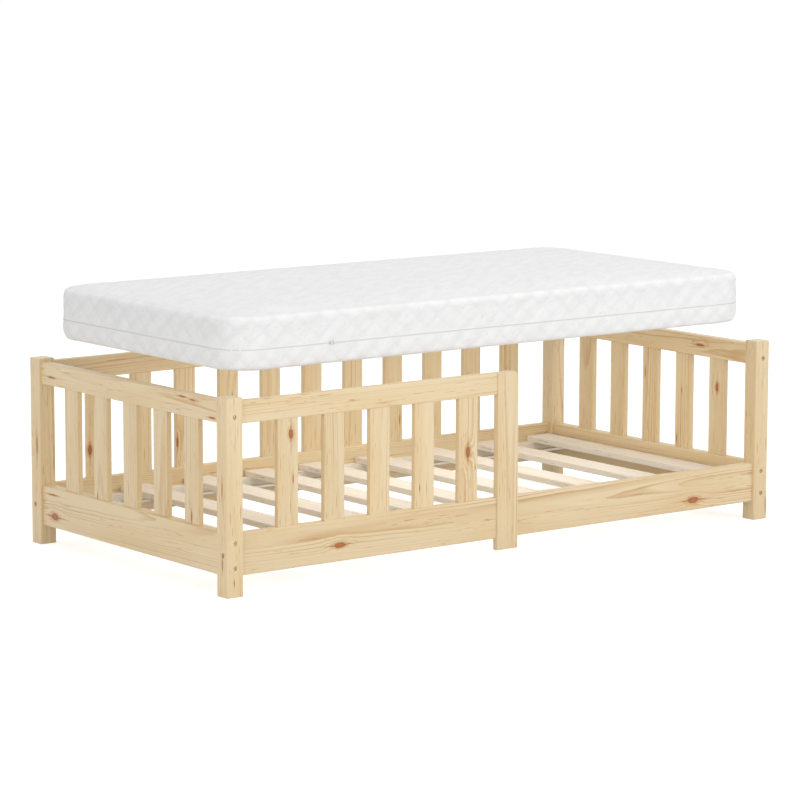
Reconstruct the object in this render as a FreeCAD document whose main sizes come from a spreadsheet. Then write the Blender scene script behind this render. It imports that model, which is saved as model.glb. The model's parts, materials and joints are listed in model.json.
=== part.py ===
import FreeCAD, Part
import math
import os

import Sketcher

# Toddler floor bed in pine: four corner posts, railed and slatted panels on three sides,
# a half-length guard at the front, a roll of bed slats on ledgers, and a zipped mattress
# lifted above the bed.
# X runs along the bed (head at -X), Y to the back, Z up.
# The origin is on the floor under the middle of the bed. Millimetres.

os.makedirs("parts", exist_ok=True)
doc = FreeCAD.newDocument("FloorBed")

SIZES = [
    # overall
    ("bed_length", 1692),
    ("bed_width", 858),
    ("post_height", 465),
    # corner posts
    ("post_length", 45),
    ("post_depth", 43),
    ("post_rounding", 3),
    ("post_top_arris", 1.5),
    # rails of the four sides
    ("side_rail_thickness", 20),
    ("side_rail_setback", 8),
    ("end_rail_thickness", 28),
    ("end_rail_setback", 7.5),
    ("top_rail_height", 54),
    ("top_rail_drop", 9),
    ("bottom_rail_height", 101),
    ("bottom_rail_lift", 48),
    ("rail_rounding", 3.5),
    ("tenon_length", 10),
    ("tenon_side_shoulder", 4),
    ("tenon_edge_shoulder", 8),
    # uprights, tenoned into the rails above and below
    ("upright_width", 58),
    ("upright_thickness", 15),
    ("upright_arris", 1.5),
    ("upright_tenon", 12),
    ("side_upright_margin", 105.5),
    ("end_upright_margin", 95),
    ("back_upright_count", 11),
    ("guard_upright_count", 5),
    ("end_upright_count", 5),
    # guard post, lapped over the front rails
    ("guard_post_centre", -15),
    ("guard_post_width", 64),
    ("guard_post_thickness", 16),
    ("guard_post_setback", 4),
    ("guard_post_lift", 19),
    ("guard_post_corner", 16),
    ("guard_post_rounding", 1.5),
    ("guard_rail_tongue_gap", 22),
    # bed slats, the ledgers under them and the tapes that tie them
    ("slat_width", 74),
    ("slat_thickness", 15),
    ("slat_top", 120),
    ("slat_arris", 1),
    ("slat_end_gap", 1.5),
    ("ledger_width", 28),
    ("ledger_height", 20),
    ("ledger_end_gap", 2),
    ("tape_width", 20),
    ("tape_thickness", 1),
    ("tape_inset", 148),
    # socket screws through the posts
    ("screw_head_width", 11.4),
    ("screw_head_height", 4),
    ("screw_length", 78),
    ("screw_shank", 6.6),
    ("screw_socket", 5),
    ("screw_socket_depth", 2.6),
    ("screw_recess_depth", 8),
    ("hole_clearance", 0.6),
    ("spare_depth", 0.5),
    ("lower_screw_inset", 21),
    ("upper_screw_inset", 22),
    ("top_screw_drop", 45),
    # mattress, lifted above the bed
    ("mattress_end_gap", 4.5),
    ("mattress_side_gap", 4),
    ("mattress_height", 133),
    ("mattress_corner", 86),
    ("mattress_edge", 15),
    ("mattress_crown", 7),
    ("mattress_waist", 3),
    ("mattress_seam", 1.5),
    ("mattress_lift", 511),
    # zip round the mattress and its slider
    ("zip_height", 54),
    ("zip_width", 5),
    ("zip_thickness", 2),
    ("zip_clearance", 0.3),
    ("slider_length", 15),
    ("slider_height", 8),
    ("slider_plate", 1.3),
    ("slider_bridge", 0.9),
    ("slider_place", -526),
]

# The slats are tied loosely, so each lies a little off its even place between the posts.
SLAT_SHIFTS = (3.5, 7, 9, 6.5, -13, -19.5, -13, -10, -2.5)

HEAD, FOOT = -1, 1
FRONT, BACK = -1, 1

sheet = doc.addObject("Spreadsheet::Sheet", "Sizes")
for row, (alias, number) in enumerate(SIZES, start=1):
    sheet.set("A%d" % row, alias)
    sheet.set("B%d" % row, str(number))
    sheet.setAlias("B%d" % row, alias)
doc.recompute()

nodes = {}


def size(text):
    """The number that an expression over the sheet gives, in millimetres."""
    found = sheet.evalExpression(text.replace("Sizes.", ""))
    return float(getattr(found, "Value", found))


def bind(item, **expressions):
    for path, text in expressions.items():
        item.setExpression(path.replace("__", "."), text)


def origin_plane(body, role):
    return [each for each in body.Origin.OriginFeatures if each.Role == role][0]


def new_body(label):
    body = doc.addObject("PartDesign::Body", label)
    body.Label = label
    return body


def place(item, x="0", y="0", z="0", turn=0.0):
    """Put a sub-part at three expressions, turned about Z by some degrees."""
    rotation = FreeCAD.Rotation(FreeCAD.Vector(0, 0, 1), turn)
    item.Placement = FreeCAD.Placement(FreeCAD.Vector(0, 0, 0), rotation)
    bind(item, Placement__Base__x=x, Placement__Base__y=y, Placement__Base__z=z)


def new_sketch(body, name, role, across="0", up="0", out="0"):
    """A sketch on one of the body's planes, moved by three expressions in its own directions."""
    sketch = body.newObject("Sketcher::SketchObject", name)
    sketch.AttachmentSupport = (origin_plane(body, role), [""])
    sketch.MapMode = "FlatFace"
    for letter, text in (("x", across), ("y", up), ("z", out)):
        if text != "0":
            sketch.setExpression("AttachmentOffset.Base." + letter, text)
    return sketch


def draw_rectangle(sketch, width, height):
    """A rectangle centred on the sketch's origin, its sides held by the sheet."""
    half_w = size(width) / 2
    half_h = size(height) / 2
    corners = [FreeCAD.Vector(x * half_w, y * half_h, 0) for x, y in ((-1, -1), (1, -1), (1, 1), (-1, 1))]
    first = sketch.GeometryCount
    for k in range(4):
        sketch.addGeometry(Part.LineSegment(corners[k], corners[(k + 1) % 4]), False)
    for k in range(4):
        sketch.addConstraint(Sketcher.Constraint("Coincident", first + k, 2, first + (k + 1) % 4, 1))
    for k in (0, 2):
        sketch.addConstraint(Sketcher.Constraint("Horizontal", first + k))
    for k in (1, 3):
        sketch.addConstraint(Sketcher.Constraint("Vertical", first + k))
    sketch.addConstraint(Sketcher.Constraint("Symmetric", first, 1, first + 2, 1, -1, 1))
    for kind, edge, text, length in (("DistanceX", first, width, 2 * half_w),
                                     ("DistanceY", first + 1, height, 2 * half_h)):
        index = sketch.addConstraint(Sketcher.Constraint(kind, edge, 1, edge, 2, length))
        sketch.setExpression("Constraints[%d]" % index, text)


def draw_circle(sketch, across, up, width):
    """A circle whose place and diameter the sheet holds."""
    centre = FreeCAD.Vector(size(across), size(up), 0)
    edge = sketch.addGeometry(Part.Circle(centre, FreeCAD.Vector(0, 0, 1), size(width) / 2), False)
    index = sketch.addConstraint(Sketcher.Constraint("Diameter", edge, size(width)))
    sketch.setExpression("Constraints[%d]" % index, width)
    for kind, text, axis in (("DistanceX", across, -2), ("DistanceY", up, -1)):
        if text == "0":
            sketch.addConstraint(Sketcher.Constraint("PointOnObject", edge, 3, axis))
            continue
        index = sketch.addConstraint(Sketcher.Constraint(kind, -1, 1, edge, 3, size(text)))
        sketch.setExpression("Constraints[%d]" % index, text)


def draw_rounded_rectangle(sketch, width, height, radius):
    """A rectangle with round corners, centred on the sketch's origin."""
    half_w, half_h, r = size(width) / 2, size(height) / 2, size(radius)
    first = sketch.GeometryCount
    point = FreeCAD.Vector
    sides = [(point(-half_w + r, -half_h, 0), point(half_w - r, -half_h, 0)),
             (point(half_w, -half_h + r, 0), point(half_w, half_h - r, 0)),
             (point(half_w - r, half_h, 0), point(-half_w + r, half_h, 0)),
             (point(-half_w, half_h - r, 0), point(-half_w, -half_h + r, 0))]
    for start, end in sides:
        sketch.addGeometry(Part.LineSegment(start, end), False)
    for k, (x, y) in enumerate(((1, -1), (1, 1), (-1, 1), (-1, -1))):
        centre = point(x * (half_w - r), y * (half_h - r), 0)
        circle = Part.Circle(centre, point(0, 0, 1), r)
        sketch.addGeometry(Part.ArcOfCircle(circle, (k - 1) * math.pi / 2, k * math.pi / 2), False)
    for k in range(4):
        arc = first + 4 + k
        sketch.addConstraint(Sketcher.Constraint("Tangent", first + k, 2, arc, 1))
        sketch.addConstraint(Sketcher.Constraint("Tangent", arc, 2, first + (k + 1) % 4, 1))
        if k:
            sketch.addConstraint(Sketcher.Constraint("Equal", first + 4, arc))
    for k in (0, 2):
        sketch.addConstraint(Sketcher.Constraint("Horizontal", first + k))
    for k in (1, 3):
        sketch.addConstraint(Sketcher.Constraint("Vertical", first + k))
    sketch.addConstraint(Sketcher.Constraint("Symmetric", first + 4, 3, first + 6, 3, -1, 1))
    for kind, one, two, text, length in (("DistanceX", first + 3, first + 1, width, 2 * half_w),
                                         ("DistanceY", first, first + 2, height, 2 * half_h)):
        index = sketch.addConstraint(Sketcher.Constraint(kind, one, 1, two, 1, length))
        sketch.setExpression("Constraints[%d]" % index, text)
    index = sketch.addConstraint(Sketcher.Constraint("Radius", first + 4, r))
    sketch.setExpression("Constraints[%d]" % index, radius)


def pad(body, sketch, length, midplane=False, reverse=False):
    feature = body.newObject("PartDesign::Pad", "Pad")
    feature.Profile = sketch
    feature.Midplane = midplane
    feature.Reversed = reverse
    bind(feature, Length=length)
    return feature


def pocket(body, sketch, depth=None, reverse=False):
    """Cut the sketch into the body: to a depth, or right through both ways."""
    doc.recompute()
    before = body.Shape.Volume
    feature = body.newObject("PartDesign::Pocket", "Pocket")
    feature.Profile = sketch
    if depth is None:
        feature.Type = "ThroughAll"
        feature.Midplane = True
    else:
        feature.Reversed = reverse
        bind(feature, Length=depth)
    doc.recompute()
    if not body.Shape.Volume < before - 1e-3:
        raise ValueError("a pocket in %s cuts nothing" % body.Label)
    return feature


def mirror_across_length(body, feature):
    mirrored = body.newObject("PartDesign::Mirrored", "Mirrored")
    mirrored.Originals = [feature]
    mirrored.MirrorPlane = (origin_plane(body, "YZ_Plane"), [""])
    body.Tip = mirrored
    return mirrored


def row_of(body, feature, sketch, pitch, count):
    pattern = body.newObject("PartDesign::LinearPattern", "Row")
    pattern.Originals = [feature]
    pattern.Direction = (sketch, ["H_Axis"])
    bind(pattern, Length="(%s - 1) * %s" % (count, pitch), Occurrences=count)
    body.Tip = pattern
    return pattern


def edges_where(shape, test):
    """Names of the straight edges whose two ends pass the test."""
    names = []
    for number, edge in enumerate(shape.Edges, start=1):
        if len(edge.Vertexes) == 2 and edge.Curve.TypeId == "Part::GeomLine":
            first, last = (vertex.Point for vertex in edge.Vertexes)
            if test(first, last):
                names.append("Edge%d" % number)
    return names


def along(axis):
    """A test for edges that run along one axis."""
    others = [k for k in range(3) if k != axis]
    return lambda a, b: all(abs(a[k] - b[k]) < 1e-6 for k in others)


def soften(body, base, names, radius, kind="Fillet"):
    feature = body.newObject("PartDesign::" + kind, kind)
    feature.Base = (base, names)
    if kind == "Fillet":
        bind(feature, Radius=radius)
    else:
        bind(feature, Size=radius)
    doc.recompute()
    return feature


# Expressions that several sub-parts share

top_rail_top = "(Sizes.post_height - Sizes.top_rail_drop)"
top_rail_under = "(Sizes.post_height - Sizes.top_rail_drop - Sizes.top_rail_height)"
bottom_rail_top = "(Sizes.bottom_rail_lift + Sizes.bottom_rail_height)"
side_rail_middle = "(Sizes.bed_width / 2 - Sizes.side_rail_setback - Sizes.side_rail_thickness / 2)"
side_rail_inside = "(Sizes.bed_width / 2 - Sizes.side_rail_setback - Sizes.side_rail_thickness)"
end_rail_middle = "(Sizes.bed_length / 2 - Sizes.end_rail_setback - Sizes.end_rail_thickness / 2)"
end_rail_inside = "(Sizes.bed_length / 2 - Sizes.end_rail_setback - Sizes.end_rail_thickness)"
side_clear_length = "(Sizes.bed_length - 2 * Sizes.post_length)"
end_clear_length = "(Sizes.bed_width - 2 * Sizes.post_depth)"
post_middle_x = "(Sizes.bed_length / 2 - Sizes.post_length / 2)"
post_middle_y = "(Sizes.bed_width / 2 - Sizes.post_depth / 2)"
first_side_upright = "(Sizes.side_upright_margin + Sizes.upright_width / 2 - %s / 2)" % side_clear_length
first_end_upright = "(Sizes.end_upright_margin + Sizes.upright_width / 2 - %s / 2)" % end_clear_length
side_upright_pitch = "(-2 * %s / (Sizes.back_upright_count - 1))" % first_side_upright
end_upright_pitch = "(-2 * %s / (Sizes.end_upright_count - 1))" % first_end_upright
lower_screw_height = "(Sizes.bottom_rail_lift + Sizes.lower_screw_inset)"
upper_screw_height = "(%s - Sizes.upper_screw_inset)" % bottom_rail_top
side_screw_height = "(%s - Sizes.bottom_rail_height / 2)" % bottom_rail_top
top_screw_height = "(Sizes.post_height - Sizes.top_screw_drop)"
screw_hole = "(Sizes.screw_shank + Sizes.hole_clearance)"
screw_recess = "(Sizes.screw_head_width + Sizes.hole_clearance)"
screw_bite = "(Sizes.screw_length + Sizes.screw_recess_depth + Sizes.spare_depth)"
side_screw_bite = "(%s - Sizes.post_length)" % screw_bite
end_screw_bite = "(%s - Sizes.post_depth)" % screw_bite
guard_post_front = "(-Sizes.bed_width / 2 + Sizes.guard_post_setback)"
guard_rail_start = "(-Sizes.bed_length / 2 + Sizes.post_length)"
guard_rail_end = "(Sizes.guard_post_centre + Sizes.guard_post_width / 2 - Sizes.guard_rail_tongue_gap)"
guard_rail_middle = "((%s + %s) / 2)" % (guard_rail_start, guard_rail_end)
guard_rail_length = "(%s - %s)" % (guard_rail_end, guard_rail_start)
lap_depth = "(Sizes.guard_post_setback + Sizes.guard_post_thickness - Sizes.side_rail_setback)"
mattress_length = "(2 * (%s - Sizes.mattress_end_gap))" % end_rail_inside
mattress_width = "(2 * (%s - Sizes.mattress_side_gap))" % side_rail_inside


def tenon_size(thickness, height):
    return ("(%s - 2 * Sizes.tenon_side_shoulder)" % thickness,
            "(%s - 2 * Sizes.tenon_edge_shoulder)" % height)


def make_post(label, end, side, has_top_side_rail):
    """A corner post with recesses for its screws and mortises for the rails."""
    body = new_body(label)
    outline = new_sketch(body, "Outline", "XY_Plane")
    draw_rectangle(outline, "Sizes.post_length", "Sizes.post_depth")
    block = pad(body, outline, "Sizes.post_height")
    doc.recompute()
    block = soften(body, block, edges_where(body.Shape, along(2)), "Sizes.post_rounding")
    top = size("Sizes.post_height")
    rim = ["Edge%d" % k for k, edge in enumerate(body.Shape.Edges, start=1)
           if all(abs(vertex.Z - top) < 1e-6 for vertex in edge.Vertexes)]
    soften(body, block, rim, "Sizes.post_top_arris", "Chamfer")

    rail_x = "%d * (%s - %s)" % (end, end_rail_middle, post_middle_x)
    rail_y = "%d * (%s - %s)" % (side, side_rail_middle, post_middle_y)
    face_y = "%d * Sizes.post_depth / 2" % side
    face_x = "%d * Sizes.post_length / 2" % end
    end_screws = (lower_screw_height, upper_screw_height, top_screw_height)

    # The XZ plane looks along -Y, so a distance out of it is minus Y.
    for name, width, depth in (("EndShanks", screw_hole, None),
                               ("EndRecesses", screw_recess, "Sizes.screw_recess_depth")):
        sketch = new_sketch(body, name, "XZ_Plane", out="0" if depth is None else "-(%s)" % face_y)
        for height in end_screws:
            draw_circle(sketch, rail_x, height, width)
        pocket(body, sketch, depth, reverse=side == BACK)
    for name, width, depth in (("SideShank", screw_hole, None),
                               ("SideRecess", screw_recess, "Sizes.screw_recess_depth")):
        sketch = new_sketch(body, name, "YZ_Plane", out="0" if depth is None else face_x)
        draw_circle(sketch, rail_y, side_screw_height, width)
        pocket(body, sketch, depth, reverse=end == HEAD)

    low = ("Sizes.bottom_rail_height", "(%s - Sizes.bottom_rail_height / 2)" % bottom_rail_top)
    high = ("Sizes.top_rail_height", "(%s + Sizes.top_rail_height / 2)" % top_rail_under)
    depth = "Sizes.tenon_length + Sizes.spare_depth"
    for number, (height, middle) in enumerate((low, high), start=1):
        wide, tall = tenon_size("Sizes.end_rail_thickness", height)
        sketch = new_sketch(body, "EndMortise%d" % number, "XZ_Plane", across=rail_x, up=middle, out=face_y)
        draw_rectangle(sketch, wide, tall)
        pocket(body, sketch, depth, reverse=side == FRONT)
    for number, (height, middle) in enumerate((low, high)[:1 + has_top_side_rail], start=1):
        wide, tall = tenon_size("Sizes.side_rail_thickness", height)
        sketch = new_sketch(body, "SideMortise%d" % number, "YZ_Plane", across=rail_y, up=middle,
                            out="-(%s)" % face_x)
        draw_rectangle(sketch, wide, tall)
        pocket(body, sketch, depth, reverse=end == FOOT)

    place(body, x="%d * %s" % (end, post_middle_x), y="%d * %s" % (side, post_middle_y))
    nodes[label] = body


def make_rail(label, length, thickness, height, opens_up, mortises, screws=(), bite=None, both_ends=True):
    """A rail along its own X, tenoned at its ends, with mortises in the face at its own Z = 0.

    mortises is (first place, pitch, count). Screw heights are above the floor.
    """
    body = new_body(label)
    rise = "-%s / 2" % height if opens_up else "%s / 2" % height
    section = new_sketch(body, "Section", "YZ_Plane", up=rise)
    draw_rectangle(section, thickness, height)
    bar = pad(body, section, length, midplane=True)
    doc.recompute()
    soften(body, bar, edges_where(body.Shape, along(0)), "Sizes.rail_rounding")
    tenon = new_sketch(body, "Tenon", "YZ_Plane", up=rise)
    draw_rectangle(tenon, *tenon_size(thickness, height))
    if both_ends:
        pad(body, tenon, "%s + 2 * Sizes.tenon_length" % length, midplane=True)
    else:
        pad(body, tenon, "%s / 2 + Sizes.tenon_length" % length, reverse=True)

    first, pitch, count = mortises
    sketch = new_sketch(body, "Mortise", "XY_Plane", across=first)
    draw_rectangle(sketch, "Sizes.upright_width", "Sizes.upright_thickness")
    cut = pocket(body, sketch, "Sizes.upright_tenon", reverse=not opens_up)
    row_of(body, cut, sketch, pitch, count)

    if screws:
        face = bottom_rail_top if opens_up else top_rail_under
        sketch = new_sketch(body, "ScrewHoles", "YZ_Plane", out="%s / 2 + Sizes.tenon_length" % length)
        for each in screws:
            draw_circle(sketch, "0", "%s - %s" % (each, face), screw_hole)
        cut = pocket(body, sketch, "%s + Sizes.tenon_length" % bite)
        mirror_across_length(body, cut)
    nodes[label] = body
    return body


def cut_lap(body, centre, height, opens_up):
    """A lap across the front of a rail that houses the guard post."""
    rise = "-%s / 2" % height if opens_up else "%s / 2" % height
    sketch = new_sketch(body, "Lap", "XZ_Plane", across=centre, up=rise, out="Sizes.side_rail_thickness / 2")
    draw_rectangle(sketch, "Sizes.guard_post_width", "%s + 2 * Sizes.rail_rounding" % height)
    pocket(body, sketch, lap_depth)


def make_side_rails():
    row = (first_side_upright, side_upright_pitch, "Sizes.back_upright_count")
    guard_row = (first_side_upright, side_upright_pitch, "Sizes.guard_upright_count")
    top = make_rail("back_top_rail", side_clear_length, "Sizes.side_rail_thickness", "Sizes.top_rail_height",
                    False, row)
    place(top, y=side_rail_middle, z=top_rail_under)
    low = make_rail("back_bottom_rail", side_clear_length, "Sizes.side_rail_thickness",
                    "Sizes.bottom_rail_height", True, row,
                    screws=(side_screw_height,), bite=side_screw_bite)
    place(low, y=side_rail_middle, z=bottom_rail_top)

    front = make_rail("front_side_rail", side_clear_length, "Sizes.side_rail_thickness",
                      "Sizes.bottom_rail_height", True, guard_row,
                      screws=(side_screw_height,), bite=side_screw_bite)
    cut_lap(front, "Sizes.guard_post_centre", "Sizes.bottom_rail_height", True)
    place(front, y="-" + side_rail_middle, z=bottom_rail_top)

    guard_first = "%s - %s" % (first_side_upright, guard_rail_middle)
    guard = make_rail("guard_top_rail", guard_rail_length, "Sizes.side_rail_thickness",
                      "Sizes.top_rail_height", False,
                      (guard_first, side_upright_pitch, "Sizes.guard_upright_count"),
                      both_ends=False)
    cut_lap(guard, "Sizes.guard_post_centre - %s" % guard_rail_middle, "Sizes.top_rail_height", False)
    place(guard, x=guard_rail_middle, y="-" + side_rail_middle, z=top_rail_under)


def make_end_rails(name, end):
    row = (first_end_upright, end_upright_pitch, "Sizes.end_upright_count")
    middle = "%d * %s" % (end, end_rail_middle)
    top = make_rail(name + "_top_rail", end_clear_length, "Sizes.end_rail_thickness",
                    "Sizes.top_rail_height", False, row,
                    screws=(top_screw_height,), bite=end_screw_bite)
    place(top, x=middle, z=top_rail_under, turn=90)
    low = make_rail(name + "_bottom_rail", end_clear_length, "Sizes.end_rail_thickness",
                    "Sizes.bottom_rail_height", True, row,
                    screws=(lower_screw_height, upper_screw_height),
                    bite=end_screw_bite)
    place(low, x=middle, z=bottom_rail_top, turn=90)


def make_upright(label, x, y, turn=0.0):
    """A flat upright with broken edges; its ends are the tenons."""
    body = new_body(label)
    outline = new_sketch(body, "Outline", "XY_Plane")
    draw_rectangle(outline, "Sizes.upright_width", "Sizes.upright_thickness")
    bar = pad(body, outline, "%s - %s + 2 * Sizes.upright_tenon" % (top_rail_under, bottom_rail_top))
    doc.recompute()
    soften(body, bar, edges_where(body.Shape, along(2)), "Sizes.upright_arris", "Chamfer")
    place(body, x=x, y=y, z="%s - Sizes.upright_tenon" % bottom_rail_top, turn=turn)
    nodes[label] = body


def make_uprights():
    for k in range(int(size("Sizes.back_upright_count"))):
        x = "%s + %d * %s" % (first_side_upright, k, side_upright_pitch)
        make_upright("back_upright_%02d" % (k + 1), x, side_rail_middle)
    for k in range(int(size("Sizes.guard_upright_count"))):
        x = "%s + %d * %s" % (first_side_upright, k, side_upright_pitch)
        make_upright("guard_upright_%d" % (k + 1), x, "-" + side_rail_middle)
    for name, end in (("head", HEAD), ("foot", FOOT)):
        for k in range(int(size("Sizes.end_upright_count"))):
            y = "%s + %d * %s" % (first_end_upright, k, end_upright_pitch)
            make_upright("%s_upright_%d" % (name, k + 1), "%d * %s" % (end, end_rail_middle), y, 90)


def make_guard_post():
    """The post at the guard's open end: one upper corner rounded, lapped over both front rails."""
    body = new_body("guard_post")
    height = "(%s - Sizes.guard_post_lift)" % top_rail_top
    outline = new_sketch(body, "Outline", "XZ_Plane", up="%s / 2" % height)
    draw_rectangle(outline, "Sizes.guard_post_width", height)
    board = pad(body, outline, "Sizes.guard_post_thickness", midplane=True)
    doc.recompute()
    top = size(height)
    right = size("Sizes.guard_post_width / 2")
    corner = edges_where(body.Shape, lambda a, b: all(abs(p.x - right) < 1e-6 and abs(p.z - top) < 1e-6
                                                      for p in (a, b)))
    board = soften(body, board, corner, "Sizes.guard_post_corner")
    front = -size("Sizes.guard_post_thickness / 2")
    rim = ["Edge%d" % k for k, edge in enumerate(body.Shape.Edges, start=1)
           if all(abs(vertex.Y - front) < 1e-6 for vertex in edge.Vertexes)]
    soften(body, board, rim, "Sizes.guard_post_rounding")
    place(body, x="Sizes.guard_post_centre", y="%s + Sizes.guard_post_thickness / 2" % guard_post_front,
          z="Sizes.guard_post_lift")
    nodes["guard_post"] = body


def make_ledger(label, side):
    """A strip along the inside of a side rail that the slats lie on."""
    body = new_body(label)
    section = new_sketch(body, "Section", "YZ_Plane")
    draw_rectangle(section, "Sizes.ledger_width", "Sizes.ledger_height")
    bar = pad(body, section, "%s - 2 * Sizes.ledger_end_gap" % side_clear_length, midplane=True)
    doc.recompute()
    soften(body, bar, edges_where(body.Shape, along(0)), "Sizes.slat_arris", "Chamfer")
    place(body, y="%d * (%s - Sizes.ledger_width / 2)" % (side, side_rail_inside),
          z="Sizes.slat_top - Sizes.slat_thickness - Sizes.ledger_height / 2")
    nodes[label] = body


def slat_place(k):
    """Expression for the middle of a slat along the bed."""
    half = "(%s / 2 - Sizes.slat_width / 2)" % side_clear_length
    even = "(-%s + %d * 2 * %s / %d)" % (half, k, half, len(SLAT_SHIFTS) - 1)
    return "(%s + %g)" % (even, SLAT_SHIFTS[k])


def make_slats():
    for k in range(len(SLAT_SHIFTS)):
        label = "bed_slat_%d" % (k + 1)
        body = new_body(label)
        outline = new_sketch(body, "Section", "XZ_Plane")
        draw_rectangle(outline, "Sizes.slat_width", "Sizes.slat_thickness")
        bar = pad(body, outline, "2 * (%s - Sizes.slat_end_gap)" % side_rail_inside, midplane=True)
        doc.recompute()
        soften(body, bar, edges_where(body.Shape, along(1)), "Sizes.slat_arris", "Chamfer")
        place(body, x=slat_place(k), z="Sizes.slat_top - Sizes.slat_thickness / 2")
        nodes[label] = body


def make_tape(label, side):
    """The cloth tape under the slats that ties them in a row."""
    body = new_body(label)
    section = new_sketch(body, "Section", "YZ_Plane")
    draw_rectangle(section, "Sizes.tape_width", "Sizes.tape_thickness")
    first = slat_place(0)
    last = slat_place(len(SLAT_SHIFTS) - 1)
    pad(body, section, "%s - %s + Sizes.slat_width" % (last, first), midplane=True)
    place(body, x="(%s + %s) / 2" % (last, first),
          y="%d * (%s - Sizes.tape_inset)" % (side, side_rail_inside),
          z="Sizes.slat_top - Sizes.slat_thickness - Sizes.tape_thickness / 2")
    nodes[label] = body


def make_frame_screw():
    """A socket-head screw along +Z, measured from the underside of its head."""
    body = new_body("FrameScrew")
    sketch = new_sketch(body, "Shank", "XY_Plane")
    draw_circle(sketch, "0", "0", "Sizes.screw_shank")
    pad(body, sketch, "Sizes.screw_length")
    sketch = new_sketch(body, "Head", "XY_Plane")
    draw_circle(sketch, "0", "0", "Sizes.screw_head_width")
    pad(body, sketch, "Sizes.screw_head_height", reverse=True)
    socket = body.newObject("PartDesign::SubtractivePrism", "Socket")
    socket.Polygon = 6
    socket.AttachmentSupport = (origin_plane(body, "XY_Plane"), [""])
    socket.MapMode = "FlatFace"
    bind(socket, Circumradius="Sizes.screw_socket / sqrt(3)", Height="Sizes.screw_socket_depth",
         AttachmentOffset__Base__z="-Sizes.screw_head_height")
    doc.recompute()
    return body


def pointing(shape, start, towards):
    """A copy of a screw, set at a point and turned to point another way."""
    copy = shape.copy()
    turn = FreeCAD.Rotation(FreeCAD.Vector(0, 0, 1), FreeCAD.Vector(*towards))
    copy.Placement = FreeCAD.Placement(FreeCAD.Vector(*start), turn)
    return copy


def add_group(label, shapes):
    """Alike small pieces kept together in one node."""
    item = doc.addObject("Part::Feature", label)
    item.Label = label
    item.Shape = Part.makeCompound(shapes)
    item.Placement = FreeCAD.Placement()
    nodes[label] = item


def make_post_screws():
    screw = make_frame_screw().Shape
    recess = size("Sizes.screw_recess_depth")
    shapes = []
    for end in (HEAD, FOOT):
        for side in (FRONT, BACK):
            x = end * size(end_rail_middle)
            y = side * (size("Sizes.bed_width") / 2 - recess)
            for height in (lower_screw_height, upper_screw_height, top_screw_height):
                shapes.append(pointing(screw, (x, y, size(height)), (0, -side, 0)))
            x = end * (size("Sizes.bed_length") / 2 - recess)
            y = side * size(side_rail_middle)
            shapes.append(pointing(screw, (x, y, size(side_screw_height)), (-end, 0, 0)))
    add_group("post_screws", shapes)


def mattress_sections():
    """Height above the mattress's underside and inset of the outline, from the bottom up."""
    edge = "Sizes.mattress_edge"
    top = "(Sizes.mattress_height - %s)" % edge
    waist = "Sizes.mattress_waist"
    edge_angles = (0, 30, 60, 90)
    sections = []
    for angle in edge_angles:
        out = round(math.sin(math.radians(angle)), 4)
        up = round(1 - math.cos(math.radians(angle)), 4)
        sections.append(("%s * %s" % (up, edge), "(1 - %s) * %s" % (out, edge)))
    sections.append(("Sizes.zip_height + 2 * Sizes.zip_width", "0"))
    sections.append(("(Sizes.zip_height + %s) / 2 + Sizes.zip_width" % top, "%s / 2" % waist))
    for angle in edge_angles:
        up = round(math.sin(math.radians(angle)), 4)
        inset = round(1 - math.cos(math.radians(angle)), 4)
        sections.append(("%s + %s * %s" % (top, up, edge), "%s + %s * %s" % (waist, inset, edge)))
    # the sewn line round the top, then the crown
    sections.append(("Sizes.mattress_height - Sizes.mattress_seam", "%s + 1.25 * %s" % (waist, edge)))
    sections.append(("Sizes.mattress_height", "%s + 1.6 * %s" % (waist, edge)))
    for share, inset in ((0.6, 4), (1, 10)):
        sections.append(("Sizes.mattress_height + %s * Sizes.mattress_crown" % share,
                         "%s + %s * %s" % (waist, inset, edge)))
    return sections


def make_mattress():
    """A soft block lofted through rounded outlines, with a groove round it for the zip."""
    body = new_body("mattress")
    sketches = []
    for k, (height, inset) in enumerate(mattress_sections()):
        sketch = new_sketch(body, "Outline%02d" % (k + 1), "XY_Plane", out=height)
        radius = "max(Sizes.mattress_corner - (%s); Sizes.mattress_corner / 2)" % inset
        draw_rounded_rectangle(sketch, "%s - 2 * (%s)" % (mattress_length, inset),
                               "%s - 2 * (%s)" % (mattress_width, inset), radius)
        sketches.append(sketch)
    loft = body.newObject("PartDesign::AdditiveLoft", "Cushion")
    loft.Profile = sketches[0]
    loft.Sections = sketches[1:]
    loft.Ruled = True
    doc.recompute()

    deep = "(Sizes.zip_thickness + Sizes.zip_clearance)"
    wide = "(Sizes.zip_width + 2 * Sizes.zip_clearance)"
    groove = new_sketch(body, "ZipGroove", "XY_Plane", out="Sizes.zip_height + %s / 2" % wide)
    for inset in ("-Sizes.mattress_edge", deep):
        draw_rounded_rectangle(groove, "%s - 2 * %s" % (mattress_length, inset),
                               "%s - 2 * %s" % (mattress_width, inset), "Sizes.mattress_corner - %s" % inset)
    pocket(body, groove, wide)
    place(body, z="Sizes.mattress_lift")
    nodes["mattress"] = body


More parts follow.
